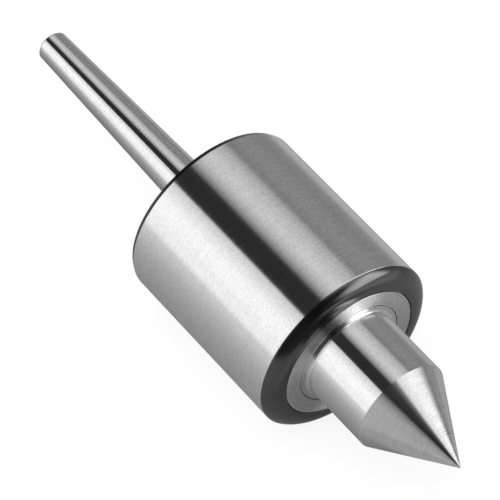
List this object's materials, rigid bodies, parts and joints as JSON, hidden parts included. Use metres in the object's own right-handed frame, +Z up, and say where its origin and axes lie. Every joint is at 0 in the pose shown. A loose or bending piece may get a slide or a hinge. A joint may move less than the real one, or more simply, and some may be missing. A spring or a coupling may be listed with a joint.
{
  "type": "live center",
  "caption": "Live center: a hardened 60 degree point that spins on bearings in a cylindrical head with a slim self-holding taper shank, for supporting turned work.",
  "frame": {"origin": "on the turning axis, at the gauge plane of the shank's taper, 2 mm behind the head's rear face", "axes": "+X along the turning axis towards the point; +Z up; the part is round about X, so Z is free"},
  "size_m": [0.1257, 0.038, 0.038],
  "materials": {
    "ground_steel": "ground bright, fine marks around the axis",
    "hardened_steel": "hardened and ground bright",
    "turned_steel": "faced, with fine concentric tool marks",
    "blackened_steel": "black oxide, satin gloss",
    "bearing_steel": "polished",
    "pressed_steel": "rolled sheet",
    "cage_polymer": "moulded polyamide",
    "spring_steel": "phosphated",
    "felt": "oiled wool felt"
  },
  "bodies": {
    "housing_body": {"housing": "ground_steel", "front_cap": "blackened_steel", "felt_seal": "felt", "front_bearing_outer_ring": "bearing_steel", "front_bearing_nose_shield": "pressed_steel", "front_bearing_shank_shield": "pressed_steel", "thrust_fixed_washer": "bearing_steel", "rear_bearing_outer_ring": "bearing_steel", "rear_bearing_nose_shield": "pressed_steel", "rear_bearing_shank_shield": "pressed_steel", "disc_spring": "spring_steel"},
    "spindle_body": {"spindle": "hardened_steel", "dust_shield": "turned_steel", "front_bearing_inner_ring": "bearing_steel", "thrust_collar": "turned_steel", "thrust_turning_washer": "bearing_steel", "rear_bearing_inner_ring": "bearing_steel", "retaining_ring": "spring_steel"},
    "front_cage_body": {"front_bearing_cage": "cage_polymer", "front_bearing_balls": "bearing_steel"},
    "thrust_cage_body": {"thrust_bearing_cage": "cage_polymer", "thrust_bearing_balls": "bearing_steel"},
    "rear_cage_body": {"rear_bearing_cage": "cage_polymer", "rear_bearing_balls": "bearing_steel"}
  },
  "joints": [
    {"name": "spindle_spin", "type": "hinge", "parent": "housing_body", "child": "spindle_body", "pos_m": [0.0434, 0, 0], "axis": [1, 0, 0], "continuous": true},
    {"name": "front_cage_spin", "type": "hinge", "parent": "housing_body", "child": "front_cage_body", "pos_m": [0.0334, 0, 0], "axis": [1, 0, 0], "continuous": true},
    {"name": "thrust_cage_spin", "type": "hinge", "parent": "housing_body", "child": "thrust_cage_body", "pos_m": [0.0234, 0, 0], "axis": [1, 0, 0], "continuous": true},
    {"name": "rear_cage_spin", "type": "hinge", "parent": "housing_body", "child": "rear_cage_body", "pos_m": [0.0129, 0, 0], "axis": [1, 0, 0], "continuous": true}
  ],
  "couplings": [
    {"joint": "front_cage_spin", "follows": "spindle_spin", "ratio": 0.424},
    {"joint": "thrust_cage_spin", "follows": "spindle_spin", "ratio": 0.5},
    {"joint": "rear_cage_spin", "follows": "spindle_spin", "ratio": 0.4008}
  ]
}
